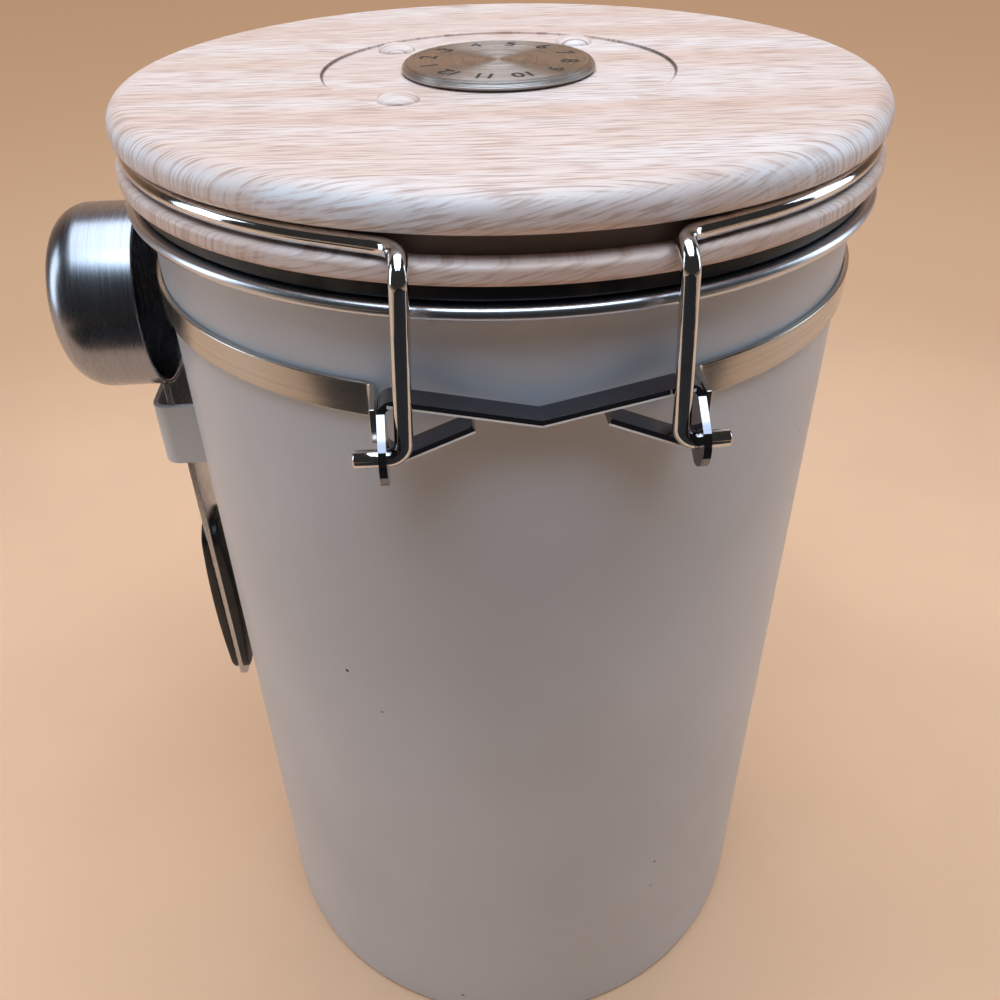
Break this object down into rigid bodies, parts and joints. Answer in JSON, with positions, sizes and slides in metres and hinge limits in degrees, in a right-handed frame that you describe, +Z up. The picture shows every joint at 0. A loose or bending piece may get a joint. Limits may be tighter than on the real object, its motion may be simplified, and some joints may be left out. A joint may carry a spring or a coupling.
{
  "type": "coffee canister",
  "caption": "Round upright coffee canister with a hinged wire-bail lid, neck band, one-way valve, date dial on the lid and a scoop clipped to its side.",
  "frame": {"origin": "centre of the can's flat base, on the surface it stands on", "axes": "+Z up along the can's axis, -Y towards the lid hinge, +Y towards the latch, -X towards the scoop"},
  "size_m": [0.1334, 0.1492, 0.1853],
  "materials": {
    "can_paint": "satin cream paint on steel",
    "band_steel": "brushed along the band",
    "bracket_steel": "bright plated strip",
    "chrome_wire": "bright plated wire",
    "lid_print": "satin plastic with a whitewashed wood-grain print",
    "lid_core": "satin plastic in the shade of the groove",
    "black_silicone": "matt black seal",
    "inner_plastic": "off-white moulded plastic",
    "valve_plastic": "grey-white moulded plastic",
    "valve_rubber": "soft dark grey disc",
    "filter_felt": "white felt pad",
    "dial_steel": "steel turned in rings, dark figures",
    "fastener_steel": "plain zinc-plated steel",
    "scoop_steel": "satin stainless steel",
    "black_grip": "matt black moulded grip"
  },
  "bodies": {
    "can": {"can_body": "can_paint", "band_left": "band_steel", "band_right": "band_steel", "hinge_bracket": "bracket_steel", "latch_bracket": "bracket_steel", "scoop_clip": "can_paint"},
    "lid": {"lid_top": "lid_print", "lid_core": "lid_core", "lid_flange": "lid_print", "bail_wire": "chrome_wire", "lid_gasket": "black_silicone", "lid_inner_cover": "inner_plastic", "lid_screws": "fastener_steel", "valve_body": "valve_plastic", "valve_filter": "filter_felt", "valve_retainer": "valve_plastic"},
    "valve_disc": {"valve_disc": "valve_rubber"},
    "dial": {"dial_face": "dial_steel", "dial_hub": "inner_plastic", "dial_washer": "fastener_steel", "dial_screw": "fastener_steel"},
    "latch_lever": {"latch_lever": "chrome_wire"},
    "latch_link": {"latch_link": "chrome_wire"},
    "scoop": {"scoop_cup": "scoop_steel", "scoop_handle": "scoop_steel", "grip_outer": "black_grip", "grip_inner": "black_grip", "grip_rivets": "fastener_steel"}
  },
  "joints": [
    {"name": "lid_hinge", "type": "hinge", "parent": "can", "child": "lid", "pos_m": [0, -0.0613, 0.1533], "axis": [1, 0, 0], "range_deg": [0, 185]},
    {"name": "valve_lift", "type": "slide", "parent": "lid", "child": "valve_disc", "axis": [0, 0, 1], "range_m": [0, 0.001]},
    {"name": "dial_turn", "type": "hinge", "parent": "lid", "child": "dial", "pos_m": [0, 0, 0.1841], "axis": [0, 0, 1], "continuous": true},
    {"name": "lever_swing", "type": "hinge", "parent": "can", "child": "latch_lever", "pos_m": [0, 0.0613, 0.1533], "axis": [1, 0, 0], "range_deg": [-20, 100]},
    {"name": "link_swing", "type": "hinge", "parent": "latch_lever", "child": "latch_link", "pos_m": [0, 0.06301, 0.1486], "axis": [1, 0, 0], "range_deg": [-135, 27]},
    {"name": "scoop_lift", "type": "slide", "parent": "can", "child": "scoop", "axis": [0, 0, 1], "range_m": [0, 0.066]}
  ],
  "couplings": [
    {"joint": "link_swing", "follows": "lever_swing", "ratio": -1.35}
  ]
}
